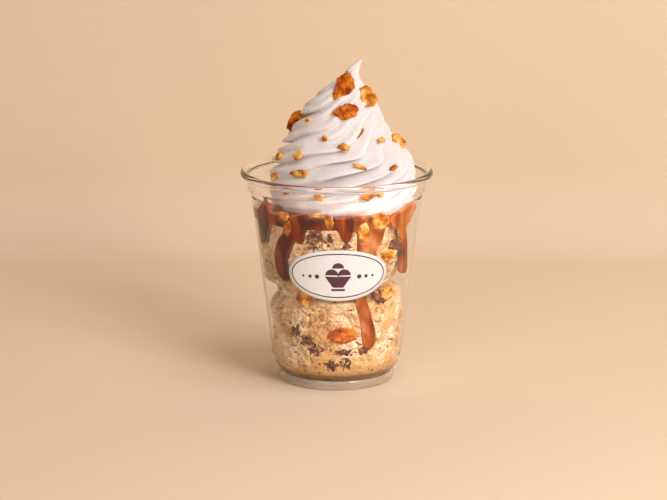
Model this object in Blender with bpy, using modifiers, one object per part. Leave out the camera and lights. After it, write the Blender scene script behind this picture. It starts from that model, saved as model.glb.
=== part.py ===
"""Ice cream sundae in a clear tumbler with a rolled lip: two scoops of crumbly ice cream, a caramel layer
whose drips run down the inside of the wall, a piped whipped cream swirl and broken caramelised biscuit.

The cup stands on z = 0 with its axis on Z. The front, where the sticker is, faces -Y. Angles round the cup
are degrees from the front and grow towards +X. The functions work in millimetres and the meshes are metres.
"""

import math

import bmesh
import bpy
import numpy as np
from mathutils import Vector, noise

MM = 0.001

# Cup
LIP_RADIUS = 49.0
CUP_HEIGHT = 109.0
FOOT_RADIUS = 29.4
WALL = 0.9
FLOOR = 6.6
LIP_ROLL = 1.8
CUP_STEPS = 48
GAP = 0.32
ROOM = 0.36

# Outside of the wall: height and radius from the groove over the foot to the shoulder under the lip
WALL_HEIGHTS = (5.2, 6.0, 9.2, 13.0, 17.0, 97.0, 99.2, 105.0)
WALL_RADII = (29.0, 29.8, 31.9, 33.1, 33.6, 43.8, 45.4, 46.0)
# Inside of the wall, from the floor's edge to the shoulder
INSIDE_HEIGHTS = (FLOOR, 8.4, 13.0, 17.0, 97.0)
INSIDE_RADII = (27.0, 30.6, 32.15, 32.7, 42.9)

# Sticker: centre height, width along the wall, height, thickness
STICKER = (62.4, 50.0, 26.6, 0.4)

# Ice cream: radius of each scoop by height and how far its middle sits to the right. Each scoop is an oval
# drum, deeper than wide and a little towards the front, and the waist between the two leans up to the right.
LOWER_HEIGHTS = (6.95, 9.0, 16.0, 24.0, 33.0, 39.0, 43.0, 46.0, 48.6)
LOWER_RADII = (29.4, 31.6, 32.8, 33.2, 33.8, 34.2, 33.2, 31.4, 28.0)
LOWER_MIDDLES = (0.0, 0.0, 0.1, 0.3, 0.0, -0.6, -0.4, -0.2, -1.2)
UPPER_HEIGHTS = (49.4, 52.0, 54.5, 57.0, 60.0, 64.0, 70.0, 78.0, 84.6)
UPPER_RADII = (28.2, 30.0, 31.8, 34.1, 35.4, 36.5, 37.0, 38.0, 38.0)
UPPER_MIDDLES = (-1.5, -1.2, -1.5, -2.9, -3.1, -3.3, -3.2, -3.0, -3.0)
SCOOP_FORWARD = 1.6
SCOOP_DEPTH = 1.13
WAIST_HEIGHT = 49.0
WAIST_LEAN = 0.085
WAIST_REACH = 14.0

# Caramel layer between the scoops and the cream
SAUCE_UNDERSIDE = 85.2
SAUCE_RADIUS = 41.8
SAUCE_MIDDLE = -2.6

# Drips inside the wall, from top to bottom: angle, height and half width
DRIP_DEPTH = 3.0
DRIPS = {
    "far_left": (
        (-56, 99.4, 1.0), (-56.4, 96.5, 2.0), (-58.7, 92.4, 5.6), (-61, 88, 7.4), (-64, 82, 6.6),
        (-66.5, 77.3, 5.6), (-68, 74.6, 3.4), (-68.2, 73.2, 1.6),
    ),
    "hooked": (
        (-26.5, 93, 4.8), (-26, 89, 4.2), (-28.4, 85.7, 4.2), (-35.5, 81, 4.2), (-40, 77, 4.8),
        (-43.6, 73, 5.2), (-46, 68.5, 5.1), (-46, 63.5, 5.0), (-43, 60, 3.9), (-40.4, 58, 1.8),
    ),
    "beside_hook": (
        (-25.2, 90, 2.8), (-25.8, 84.6, 2.6), (-26.4, 81.2, 2.3), (-26.8, 79.0, 1.7), (-27.0, 78.0, 0.9),
    ),
    "middle": ((5.4, 92, 4.0), (5.7, 87.5, 3.8), (6.1, 84.5, 3.3), (6.5, 81.4, 2.3), (6.5, 79.8, 1.2)),
    "long": (
        (23, 92, 9.2), (24, 88, 9.0), (25, 84, 8.1), (24.5, 80, 7.4), (23.2, 75.5, 6.2), (22, 68, 5.2),
        (20.4, 60, 4.0), (19.3, 50, 3.3), (21.8, 44, 3.3), (24.8, 38, 3.5), (27.6, 32, 4.1), (29.2, 27, 4.3),
        (29.5, 23.7, 3.2), (29.4, 22.1, 1.5),
    ),
    "shoulder": (
        (56, 93.6, 3.6), (54.5, 91.4, 7.0), (53.2, 88.4, 9.2), (53.4, 85.8, 8.6), (53.8, 84.4, 5.0),
    ),
    "right": (
        (52.5, 91, 4.6), (53.2, 86, 3.8), (54.5, 81.3, 3.0), (58.3, 75, 2.5), (60.6, 68.4, 3.0),
        (61.6, 63, 3.9), (62.6, 60, 3.4), (62.8, 58.6, 1.6),
    ),
}

# Whipped cream: radius and middle by height, how far the ribs rise for each radian of turn, and how much
# steeper they get to the right of a fold that stands at FOLD_TURNS, with as much taken off at its left
CREAM_HEIGHTS = (
    88.0, 93.0, 98.0, 112.0, 116.0, 120.0, 126.0, 134.0, 142.0, 146.5, 151.0, 156.0, 161.0, 165.0,
)
CREAM_RADII = (32.2, 35.4, 36.2, 34.8, 33.2, 30.4, 25.9, 20.9, 17.4, 14.4, 10.0, 4.8, 2.9, 0.9)
CREAM_MIDDLES = (3.6, 3.5, 3.2, 2.9, 3.0, 2.9, 1.6, 1.8, 2.2, 3.4, 4.3, 6.6, 8.8, 12.2)
RIB_RISES = (9.0, 9.0, 9.0, 8.8, 7.5, 6.0, 5.8, 7.5, 10.0, 11.0, 11.0, 10.0, 9.0, 9.0)
FOLD_RISES = (2.0, 3.0, 4.0, 4.3, 4.0, 4.0, 4.5, 4.0, 4.0, 3.0, 2.5, 2.0, 1.0, 0.0)
FOLD_TURNS = (0.6, 0.6, 0.6, 0.6, 0.6, 0.5, 0.0, 0.0, -0.1, -0.1, 0.0, 0.0, 0.0, 0.0)
RIBS = 8
RIB_START = 0.325
RIB_DEPTH = 0.15

# Broken biscuit pressed against the wall: angle, height, width, height of the piece, turn, seed
WALL_BISCUITS = {
    "biscuit_beside_hook": (-40.2, 91.0, 7.8, 5.8, 6, 1),
    "biscuit_under_hook": (-36.2, 86.0, 4.2, 9.6, -36, 2),
    "biscuit_front": (-5.4, 89.8, 6.2, 8.2, 8, 3),
    "biscuit_in_long_drip": (19.6, 84.2, 6.6, 10.6, -6, 4),
    "biscuit_large": (32.0, 90.0, 11.8, 10.0, 8, 5),
    "biscuit_right": (43.5, 70.8, 9.8, 7.0, -12, 6),
    "biscuit_under_sticker": (-27.0, 49.4, 10.6, 9.4, 14, 7),
    "biscuit_pale": (43.5, 50.4, 6.8, 9.4, 4, 8),
    "biscuit_amber": (6.0, 30.0, 15.6, 9.2, 12, 9),
}
# A thin strip of biscuit at the top of the caramel, fused to it
STRIP = (-12.6, 92.4, 11.0, 2.6, 2)

# Chocolate and crumb lumps, which stand out of the scoops by this much: angle, height, width, height, turn
LUMP_RISE = 0.8
UPPER_LUMPS = (
    (-15.8, 78.4, 8.2, 8.4, 20), (-5.0, 79.4, 2.6, 6.0, 10), (7.4, 77.6, 4.2, 3.6, -10),
    (48.5, 74.8, 6.6, 6.4, 30),
)
LOWER_LUMPS = (
    (37.0, 48.4, 6.6, 6.2, 20), (-37.4, 31.0, 6.4, 7.0, -25), (-26.0, 26.6, 8.0, 4.6, -20),
    (-18.8, 21.6, 6.8, 4.6, -30), (-5.0, 14.6, 7.6, 5.4, 10), (7.6, 15.4, 7.0, 6.0, 30),
    (4.6, 21.0, 9.6, 3.4, 4), (24.0, 21.4, 6.0, 3.6, -8),
)

# Broken biscuit on the cream: angle, height, width, length, turn, lean, seed, angle it faces
CREAM_BISCUITS = {
    "biscuit_top": (-12, 152.9, 10.4, 14.0, -8, -2, 11, -8),
    "biscuit_below_top": (9.2, 142.2, 12.0, 9.4, 6, 2, 12, 4),
    "biscuit_high_right": (56, 147.7, 10.6, 10.6, 30, -8, 13, 24),
    "biscuit_high_left": (-88, 132.6, 9.0, 13.4, -24, 8, 14, -34),
    "biscuit_low_right": (86, 125.4, 7.8, 10.6, 38, 4, 15, 36),
}

# Crumbs pressed into the cream: angle, height, width, length, turn
CREAM_CRUMBS = (
    (-49, 137.5, 2.8, 2.8, 0), (-18, 129.5, 3.4, 3.0, -20), (3.7, 126.3, 6.0, 4.6, -8),
    (27.4, 130.2, 3.6, 8.4, -36), (49.7, 128.4, 5.6, 3.4, 6), (-70.4, 117.9, 4.6, 4.4, 0),
    (-44.2, 120.8, 5.4, 5.8, 10), (-67.7, 108.5, 6.4, 4.4, 0), (-37, 112.9, 12.8, 4.2, 2),
    (14.8, 117.9, 8.8, 2.4, -24), (44.1, 116.4, 6.4, 2.6, 24), (-56.1, 102.2, 8.0, 2.2, -14),
    (-18.2, 103.3, 4.0, 3.8, 0), (19.7, 104.3, 7.4, 4.6, 0), (33, 102.6, 3.8, 4.2, 0),
)


def smooth_line(at, places, values):
    """Values read off a smooth line through the given ones, with no overshoot."""
    places = np.asarray(places, float)
    values = np.asarray(values, float)
    steps = np.diff(values) / np.diff(places)
    slopes = np.concatenate([steps[:1], (steps[1:] + steps[:-1]) / 2, steps[-1:]])
    turned = np.concatenate([[False], steps[1:] * steps[:-1] <= 0, [False]])
    slopes[turned] = 0.0
    at = np.clip(np.asarray(at, float), places[0], places[-1])
    cell = np.clip(np.searchsorted(places, at) - 1, 0, len(places) - 2)
    width = places[cell + 1] - places[cell]
    t = (at - places[cell]) / width
    rise = values[cell + 1] - values[cell]
    start = slopes[cell] * width
    end = slopes[cell + 1] * width
    return values[cell] + start * t + (3 * rise - 2 * start - end) * t**2 + (start + end - 2 * rise) * t**3


def outside_radius(height):
    return np.interp(height, WALL_HEIGHTS, WALL_RADII)


def inside_radius(height):
    """Radius that the contents may reach: the straight wall's, which goes on under the wider shoulder."""
    slope = (INSIDE_RADII[-1] - INSIDE_RADII[-2]) / (INSIDE_HEIGHTS[-1] - INSIDE_HEIGHTS[-2])
    over = np.maximum(0.0, np.asarray(height, float) - INSIDE_HEIGHTS[-1])
    return np.interp(height, INSIDE_HEIGHTS, INSIDE_RADII) + over * slope


def wall_point(angle, height, depth):
    """A point this deep inside the wall's inner face, or outside it where the depth is negative."""
    radius = inside_radius(height) - depth
    turn = math.radians(angle)
    return (radius * math.sin(turn), -radius * math.cos(turn), height)


def sauce_top(x, y):
    """Height of the caramel's upper face, where the cream lies on it: higher at the front."""
    radius = np.hypot(x, y)
    front = np.clip(-np.asarray(y, float) / 40, -1, 1)
    return 90.4 + 1.5 * front + 0.7 * np.sin(4.0 * np.arctan2(x, -np.asarray(y, float)) + 0.4) * radius / 40


def flat_rough(x, y, z, seed, size):
    """A repeatable uneven value about -1 to 1 at a point, in lumps of this size."""
    return noise.noise(Vector((x / size + 17.3 * seed, y / size - 5.1 * seed, z / size + 3.7 * seed)))


def new_material(name, colour, roughness, transmission=0.0):
    material = bpy.data.materials.new(name)
    material.use_nodes = True
    shader = material.node_tree.nodes["Principled BSDF"]
    shader.inputs["Base Color"].default_value = (*colour, 1.0)
    shader.inputs["Roughness"].default_value = roughness
    shader.inputs["Transmission Weight"].default_value = transmission
    material.diffuse_color = (*colour, 1.0)
    return material


def new_object(name, points, faces, material, collection, smooth=True):
    """An object from points in millimetres, its faces turned outwards."""
    mesh = bpy.data.meshes.new(name)
    mesh.from_pydata([tuple(c * MM for c in point) for point in points], [], faces)
    shape = bmesh.new()
    shape.from_mesh(mesh)
    bmesh.ops.recalc_face_normals(shape, faces=shape.faces)
    bmesh.ops.triangulate(shape, faces=shape.faces)
    for face in shape.faces:
        face.smooth = smooth
    shape.to_mesh(mesh)
    shape.free()
    obj = bpy.data.objects.new(name, mesh)
    collection.objects.link(obj)
    if material:
        mesh.materials.append(material)
    return obj


def rings_to_solid(rings):
    """Points and faces of a closed body through equal rings of points, its two ends closed by fans."""
    count = len(rings[0])
    points = [point for ring in rings for point in ring]
    faces = []
    for low in range(0, (len(rings) - 1) * count, count):
        for i in range(count):
            j = (i + 1) % count
            faces.append((low + i, low + j, low + count + j, low + count + i))
    for start in (0, (len(rings) - 1) * count):
        middle = len(points)
        points.append(tuple(np.mean(points[start:start + count], axis=0)))
        faces += [(start + i, start + (i + 1) % count, middle) for i in range(count)]
    return points, faces


def apply_modifiers(obj):
    """Turns the object's modifiers into its mesh."""
    graph = bpy.context.evaluated_depsgraph_get()
    mesh = bpy.data.meshes.new_from_object(obj.evaluated_get(graph), depsgraph=graph)
    obj.modifiers.clear()
    obj.data = mesh


def boolean(obj, group, operation):
    """One Boolean of the object with a whole collection, applied, and the collection's objects removed."""
    modifier = obj.modifiers.new(operation.lower(), "BOOLEAN")
    modifier.operation = operation
    modifier.operand_type = "COLLECTION"
    modifier.collection = group
    apply_modifiers(obj)
    for tool in list(group.objects):
        bpy.data.objects.remove(tool)
    drop_scraps(obj)


def drop_scraps(obj):
    """Keeps the largest body of the mesh, as a cut can leave a loose crumb beside it."""
    shape = bmesh.new()
    shape.from_mesh(obj.data)
    left = set(shape.verts)
    bodies = []
    while left:
        body = [left.pop()]
        for vert in body:
            for edge in vert.link_edges:
                other = edge.other_vert(vert)
                if other in left:
                    left.remove(other)
                    body.append(other)
        bodies.append(body)
    bodies.sort(key=len)
    for body in bodies[:-1]:
        bmesh.ops.delete(shape, geom=body, context="VERTS")
    shape.to_mesh(obj.data)
    shape.free()


def cup_profile():
    """Half section of the cup: over the floor, up the inside, round the lip, down the outside and under."""
    middle = (LIP_RADIUS - LIP_ROLL, CUP_HEIGHT - LIP_ROLL)
    inside = [(0.0, FLOOR), *zip(INSIDE_RADII, INSIDE_HEIGHTS), (45.4 - WALL, 99.2), (46.0 - WALL, 105.0)]
    lip = []
    for turn in (200, 150, 100, 50, 0, -50, -95):
        lip.append((
            middle[0] + LIP_ROLL * math.cos(math.radians(turn)),
            middle[1] + LIP_ROLL * math.sin(math.radians(turn)),
        ))
    outside = list(zip(WALL_RADII, WALL_HEIGHTS))[::-1]
    foot = [(29.0, 4.6), (FOOT_RADIUS, 3.8), (FOOT_RADIUS, 0.5), (FOOT_RADIUS - 0.5, 0.0)]
    foot += [(FOOT_RADIUS - 1.6, 0.0), (FOOT_RADIUS - 1.9, 4.6), (FOOT_RADIUS - 3.0, FLOOR - 1.0)]
    return inside + lip + outside + foot + [(0.0, FLOOR - 1.0)]


def make_cup(collection, material):
    profile = cup_profile()
    mesh = bpy.data.meshes.new("cup")
    edges = [(i, i + 1) for i in range(len(profile) - 1)]
    mesh.from_pydata([(r * MM, 0.0, z * MM) for r, z in profile], edges, [])
    cup = bpy.data.objects.new("cup", mesh)
    collection.objects.link(cup)
    screw = cup.modifiers.new("turn", "SCREW")
    screw.angle = math.tau
    screw.steps = CUP_STEPS
    screw.render_steps = CUP_STEPS
    screw.use_merge_vertices = True
    screw.merge_threshold = 0.0001
    screw.use_smooth_shade = True
    mesh.materials.append(material)
    return cup


def make_sticker(collection, material):
    """A thin oval shell that follows the wall."""
    height, width, tall, thick = STICKER
    around = outside_radius(height)
    rings = []
    for i in range(19):
        across = -math.cos(math.pi * i / 18)
        half = max(tall / 2 * math.sqrt(max(0.0, 1 - across**2)), 0.9)
        angle = math.degrees(across * width / 2 / around) + 1.0
        low, high = height - half, height + half
        near, far = -WALL - GAP, -WALL - GAP - thick
        rings.append([
            wall_point(angle, low, near), wall_point(angle, high, near),
            wall_point(angle, high, far), wall_point(angle, low, far),
        ])
    return new_object("sticker", *rings_to_solid(rings), material, collection)


def inside_wall(x, y, z, gap=GAP):
    """The point, pulled in where it would come nearer to the cup's wall than this gap."""
    limit = inside_radius(z) - gap
    away = math.hypot(x, y)
    if away <= limit:
        return (x, y, z)
    return (x * limit / away, y * limit / away, z)


def make_scoop(name, heights, radii, middles, seed, collection, material):
    """An uneven drum of ice cream through rings, pressed flat where it meets the cup."""
    rings = []
    columns = 44
    for level in np.linspace(heights[0], heights[-1], 13):
        radius = float(smooth_line(level, heights, radii))
        middle = float(smooth_line(level, heights, middles))
        lean = WAIST_LEAN * math.exp(-(((level - WAIST_HEIGHT) / WAIST_REACH) ** 2))
        ring = []
        for i in range(columns):
            turn = math.tau * i / columns
            x, y = radius * math.sin(turn), -radius * SCOOP_DEPTH * math.cos(turn)
            swell = 1.5 * flat_rough(x, y, level, seed, 16) + 0.8 * flat_rough(x, y, level, seed, 6)
            grow = (radius + swell) / radius
            height = level + lean * (x + middle)
            ring.append(inside_wall(x * grow + middle, y * grow - SCOOP_FORWARD, height, GAP + LUMP_RISE))
        rings.append(ring)
    return new_object(name, *rings_to_solid(rings), material, collection)


def make_sauce(collection, material):
    """The caramel layer: a disc that fills the cup between the upper scoop and the cream."""
    count = 60
    rings = []
    for share in (0.9, 1.0):
        ring = []
        for i in range(count):
            turn = math.tau * i / count
            height = SAUCE_UNDERSIDE + (1.2 if share == 1.0 else 0.0)
            radius = SAUCE_RADIUS * share
            ring.append(inside_wall(radius * math.sin(turn) + SAUCE_MIDDLE, -radius * math.cos(turn), height))
        rings.append(ring)
    for share in (1.0, 0.8, 0.45):
        ring = []
        for i in range(count):
            turn = math.tau * i / count
            x = SAUCE_RADIUS * share * math.sin(turn) + SAUCE_MIDDLE
            y = -SAUCE_RADIUS * share * math.cos(turn)
            height = float(sauce_top(x, y))
            ring.append(inside_wall(x, y, height))
        rings.append(ring)
    return new_object("caramel_sauce", *rings_to_solid(rings), material, collection)


def make_drip(name, line, collection, grow=0.0, depth=DRIP_DEPTH):
    """A rounded run of caramel down the inside of the wall. With grow it is a little larger all round."""
    places = np.linspace(0, 1, len(line))
    dense = np.linspace(0, 1, int(1.2 * len(line)))
    angles, heights, halves = (smooth_line(dense, places, [row[k] for row in line]) for k in range(3))
    around = inside_radius(heights)
    along = np.column_stack([np.radians(angles) * around, heights])
    heading = np.gradient(along, axis=0)
    heading /= np.linalg.norm(heading, axis=1)[:, None]
    rings = []
    for i, half in enumerate(halves):
        half = half + grow
        sunk = min(depth, half * 0.9 + 0.4) + 2 * grow
        side = np.array([heading[i][1], -heading[i][0]])
        ring = []
        for step in range(7):
            turn = math.pi * step / 6
            ring.append((half * math.cos(turn), sunk * math.sin(turn) ** 0.8 if 0 < step < 6 else 0.0))
        ring.append((0.0, 0.0))
        end = -grow if i == 0 else grow if i == len(halves) - 1 else 0.0
        spot = [along[i] + side * s + heading[i] * end for s, _ in ring]
        near = GAP - grow
        rings.append([
            wall_point(math.degrees(p[0] / around[i]), p[1], near + d) for p, (_, d) in zip(spot, ring)
        ])
    return new_object(name, *rings_to_solid(rings), None, collection)


def piece_rings(width, tall, turn, seed, thick, grow=0.0, sides=8):
    """Three outlines of a broken piece, as (across, up, depth): narrower faces and a wider rough middle."""
    lean = math.radians(turn)
    outline = []
    for i in range(sides):
        angle = math.tau * (i + 0.35 * noise.noise(Vector((i * 1.7, seed * 3.1, 0.5)))) / sides
        reach = 1 + 0.34 * noise.noise(Vector((i * 2.3, seed * 5.7, 2.5)))
        x, y = width / 2 * reach * math.cos(angle), tall / 2 * reach * math.sin(angle)
        outline.append((x * math.cos(lean) - y * math.sin(lean), x * math.sin(lean) + y * math.cos(lean)))
    rings = []
    for share, depth in ((0.82, 0.0), (1.0, thick * 0.4), (0.72, thick + grow)):
        ring = []
        for i, (x, y) in enumerate(outline):
            away = math.hypot(x, y)
            out = share + grow / away
            rough = 0.25 * thick * noise.noise(Vector((i * 1.9, share, seed * 2.2)))
            ring.append((x * out, y * out, max(depth + rough, 0.0) if depth > 0 or not grow else -1.0))
        rings.append(ring)
    return rings


def make_wall_piece(name, row, collection, material=None, grow=0.0, thick=2.8, sides=8):
    """A broken piece that lies against the inside of the wall and bends with it."""
    angle, height, width, tall, turn, seed = row
    around = inside_radius(height)
    rings = []
    for ring in piece_rings(width, tall, turn, seed, thick, grow, sides):
        rings.append([
            wall_point(angle + math.degrees(x / around), height + y, GAP + 0.1 + d) for x, y, d in ring
        ])
    return new_object(name, *rings_to_solid(rings), material, collection, smooth=False)


def rib_turn(height):
    """How far the ribs have turned at this height, in radians."""
    levels = np.linspace(CREAM_HEIGHTS[0], CREAM_HEIGHTS[-1], 400)
    rate = 1 / smooth_line(levels, CREAM_HEIGHTS, RIB_RISES)
    total = np.concatenate([[0.0], np.cumsum((rate[1:] + rate[:-1]) / 2 * np.diff(levels))])
    return np.interp(height, levels, total)


def cream_surface(turn, height):
    """Points on the ribbed cream at these angles from the front, in radians, and heights."""
    radius = smooth_line(height, CREAM_HEIGHTS, CREAM_RADII)
    fold = np.arcsin(0.96 * np.cos(turn - smooth_line(height, CREAM_HEIGHTS, FOLD_TURNS)))
    wound = rib_turn(height + fold * smooth_line(height, CREAM_HEIGHTS, FOLD_RISES))
    phase = (RIBS * (turn - wound) / math.tau + RIB_START) % 1.0
    rib = np.abs(np.cos(math.pi * (phase**1.25))) ** 0.85
    fade = np.clip((height - 96) / 16, 0.06, 1.0) * np.clip((162 - height) / 16, 0.3, 1.0)
    radius = radius * (1 + RIB_DEPTH * fade * (rib - 0.72))
    middle = smooth_line(height, CREAM_HEIGHTS, CREAM_MIDDLES)
    droop = np.minimum(1.6, 0.05 * radius) * rib * fade
    return middle + radius * np.sin(turn), -radius * np.cos(turn), height - droop


def make_cream(collection, material):
    """The piped swirl, from its flat foot on the caramel to the curled tip."""
    columns, rows = 104, 64
    turns = np.linspace(0, math.tau, columns, endpoint=False)
    rings = []
    for k in range(rows):
        height = CREAM_HEIGHTS[0] + (CREAM_HEIGHTS[-1] - CREAM_HEIGHTS[0]) * (k / (rows - 1)) ** 0.95
        x, y, z = cream_surface(turns, np.full(columns, height))
        z = np.maximum(z, sauce_top(x, y) + GAP)
        rings.append(list(zip(x, y, z)))
    cream = new_object("whipped_cream", *rings_to_solid(rings[2:]), material, collection)
    thin = cream.modifiers.new("thin", "DECIMATE")
    thin.ratio = 0.142
    apply_modifiers(cream)
    return cream


def cream_frame(angle, height, facing):
    """Where a piece lies on the cream: the point, and its directions across, up and outwards."""
    turn = math.radians(angle)
    point = Vector([float(v) for v in cream_surface(turn, height)])
    above = float(smooth_line(height + 3, CREAM_HEIGHTS, CREAM_RADII))
    below = float(smooth_line(height - 3, CREAM_HEIGHTS, CREAM_RADII))
    turn = math.radians(facing)
    out = Vector((math.sin(turn), -math.cos(turn), (below - above) / 12)).normalized()
    across = Vector((math.cos(turn), math.sin(turn), 0.0))
    return point, across, out.cross(across).normalized(), out


def make_cream_piece(name, row, collection, material=None, grow=0.0, thick=2.6, sunk=1.0, sides=8):
    """A broken piece stuck in the cream, leaning a little out of its surface."""
    angle, height, width, tall, turn, lean, seed, facing = row
    point, across, up, out = cream_frame(angle, height, facing)
    tilt = math.radians(lean)
    up, out = up * math.cos(tilt) + out * math.sin(tilt), out * math.cos(tilt) - up * math.sin(tilt)
    rings = []
    for ring in piece_rings(width, tall, turn, seed, thick, grow, sides):
        rings.append([tuple(point + across * x + up * y + out * (thick - sunk - d)) for x, y, d in ring])
    return new_object(name, *rings_to_solid(rings), material, collection, smooth=False)


def tool_collection(name, scene):
    group = bpy.data.collections.new(name)
    group.hide_render = True
    scene.collection.children.link(group)
    return group


def outline_tools(group):
    for tool in group.objects:
        tool.display_type = "WIRE"
        tool.hide_render = True


def cut_wall_things(host, group, drips=True, height_range=(0, 200)):
    """Cuts the drips and the biscuit at the wall, each a little larger, out of a piece of food."""
    low, high = height_range
    if drips:
        for name, line in DRIPS.items():
            if min(row[1] for row in line) < high and max(row[1] for row in line) > low:
                make_drip("room_" + name, line, group, grow=ROOM)
    for name, row in WALL_BISCUITS.items():
        if low - 7 < row[1] < high + 7:
            make_wall_piece("room_" + name, row, group, grow=GAP)
    outline_tools(group)
    boolean(host, group, "DIFFERENCE")


def main():
    for obj in list(bpy.data.objects):
        bpy.data.objects.remove(obj)
    scene = bpy.context.scene
    parts = bpy.data.collections.new("ice_cream_sundae")
    scene.collection.children.link(parts)
    tools = tool_collection("cutters", scene)

    clear = new_material("clear_plastic", (0.93, 0.92, 0.90), 0.04, 1.0)
    paper = new_material("white_paper", (0.80, 0.80, 0.79), 0.45)
    ice = new_material("ice_cream", (0.74, 0.42, 0.21), 0.55)
    caramel = new_material("caramel", (0.36, 0.10, 0.025), 0.18)
    white = new_material("whipped_cream", (0.90, 0.84, 0.77), 0.42)
    biscuit = new_material("caramelised_biscuit", (0.55, 0.20, 0.035), 0.5)

    make_cup(parts, clear)
    make_sticker(parts, paper)

    lower = make_scoop("ice_cream_lower", LOWER_HEIGHTS, LOWER_RADII, LOWER_MIDDLES, 1, parts, ice)
    upper = make_scoop("ice_cream_upper", UPPER_HEIGHTS, UPPER_RADII, UPPER_MIDDLES, 2, parts, ice)
    for host, lumps in ((lower, LOWER_LUMPS), (upper, UPPER_LUMPS)):
        for seed, row in enumerate(lumps):
            make_wall_piece("lump", (*row, seed + 20), tools, thick=3.4, sides=6)
        outline_tools(tools)
        boolean(host, tools, "UNION")
    cut_wall_things(lower, tools, height_range=(0, WAIST_HEIGHT))
    cut_wall_things(upper, tools, height_range=(WAIST_HEIGHT, 87))

    sauce = make_sauce(parts, caramel)
    for name, line in DRIPS.items():
        make_drip("run_" + name, line, tools)
    make_wall_piece("strip", (*STRIP, 17), tools, sides=6)
    outline_tools(tools)
    boolean(sauce, tools, "UNION")
    cut_wall_things(sauce, tools, drips=False)

    cream = make_cream(parts, white)
    for seed, row in enumerate(CREAM_CRUMBS):
        make_cream_piece("crumb", (*row, 0, seed + 40, row[0]), tools, thick=2.0, sunk=1.1, sides=6)
    outline_tools(tools)
    boolean(cream, tools, "UNION")
    for name, row in CREAM_BISCUITS.items():
        make_cream_piece("room_" + name, row, tools, grow=GAP)
    for name, line in DRIPS.items():
        if line[0][1] > 93:
            make_drip("room_" + name, line, tools, grow=ROOM)
    for name, row in WALL_BISCUITS.items():
        if row[1] > 80:
            make_wall_piece("room_" + name, row, tools, grow=GAP)
    outline_tools(tools)
    boolean(cream, tools, "DIFFERENCE")

    for name, row in WALL_BISCUITS.items():
        make_wall_piece(name, row, parts, biscuit)
    for name, row in CREAM_BISCUITS.items():
        make_cream_piece(name, row, parts, biscuit)


main()
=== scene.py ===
# %% [markdown]
# Ice cream sundae in a clear cup
#
# The real thing is a thin clear plastic tumbler filled with two scoops of crumbly ice cream, a layer of
# caramel that has run down the inside, a piped swirl of whipped cream, and broken caramelised biscuit.
# Everything is built in millimetres by small functions and turned to metres as each mesh is made, because
# the sizes of food and of a cup's wall are easiest to think about in millimetres.

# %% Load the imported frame
import math

import bmesh
import bpy
import numpy as np
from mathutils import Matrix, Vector, noise


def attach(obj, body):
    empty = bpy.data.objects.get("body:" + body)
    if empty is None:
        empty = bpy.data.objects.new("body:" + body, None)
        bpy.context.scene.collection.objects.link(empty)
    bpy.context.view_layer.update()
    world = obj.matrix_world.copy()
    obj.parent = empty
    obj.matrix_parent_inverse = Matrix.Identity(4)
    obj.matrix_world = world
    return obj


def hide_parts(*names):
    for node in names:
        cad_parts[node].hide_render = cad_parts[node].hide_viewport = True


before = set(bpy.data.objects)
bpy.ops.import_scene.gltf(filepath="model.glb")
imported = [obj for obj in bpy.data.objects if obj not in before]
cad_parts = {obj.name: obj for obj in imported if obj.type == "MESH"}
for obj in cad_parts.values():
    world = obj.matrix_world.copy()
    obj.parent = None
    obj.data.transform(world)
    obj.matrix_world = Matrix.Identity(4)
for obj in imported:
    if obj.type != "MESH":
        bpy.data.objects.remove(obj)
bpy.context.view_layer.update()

print("nodes in the frame:", len(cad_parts))
MM = 0.001

# %% [markdown]
# Helpers for every material
#
# Colours are written as the sRGB hex codes that a picker shows, and shaders want linear light, so one
# function converts them. Another adds a node with its settings and its links in one call, which keeps each
# material short enough to read in one go. The scale of each noise comes from the real size of its lumps.

# %% Colour and node helpers
def linear(code, alpha=1.0):
    """Linear colour of an sRGB hex code."""
    parts = [int(code[i:i + 2], 16) / 255 for i in (0, 2, 4)]
    return (*[p / 12.92 if p <= 0.04045 else ((p + 0.055) / 1.055) ** 2.4 for p in parts], alpha)


def output_of(source):
    """The socket itself, or a node's first output in use."""
    if isinstance(source, bpy.types.NodeSocket):
        return source
    return next(socket for socket in source.outputs if socket.enabled)


def add_node(material, kind, values=None, links=None, **settings):
    """A node with its settings, socket values and incoming links, its kind without the word ShaderNode."""
    tree = material.node_tree
    node = tree.nodes.new("ShaderNode" + kind)
    for name, value in settings.items():
        setattr(node, name, value)
    for socket, value in (values or {}).items():
        node.inputs[socket].default_value = value
    for socket, source in (links or {}).items():
        tree.links.new(output_of(source), node.inputs[socket])
    return node


def new_material(name, **values):
    """A material with plain values on its shader's sockets, which are named with _ for a space."""
    material = bpy.data.materials.new(name)
    material.use_nodes = True
    shader = material.node_tree.nodes["Principled BSDF"]
    for socket, value in values.items():
        shader.inputs[socket.replace("_", " ")].default_value = value
    return material


def feed(material, **sources):
    """Links nodes to sockets of the material's shader."""
    shader = material.node_tree.nodes["Principled BSDF"]
    for socket, source in sources.items():
        material.node_tree.links.new(output_of(source), shader.inputs[socket.replace("_", " ")])


def clear_where(material, factor):
    """Makes the material plain transparent where this factor is 1."""
    nodes = material.node_tree.nodes
    open_way = add_node(material, "BsdfTransparent")
    mix = add_node(material, "MixShader", None, {"Fac": factor, 1: nodes["Principled BSDF"], 2: open_way})
    material.node_tree.links.new(mix.outputs["Shader"], nodes["Material Output"].inputs["Surface"])


def span(size):
    """Noise scale whose lumps are this many millimetres wide, as the meshes are in metres."""
    return 1000.0 / size


def set_ramp(node, *stops):
    """The colour stops of a ramp: place and sRGB hex."""
    ramp = node.color_ramp
    while len(ramp.elements) < len(stops):
        ramp.elements.new(0.5)
    for element, (place, code) in zip(ramp.elements, stops):
        element.position = place
        element.color = linear(code)


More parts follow.
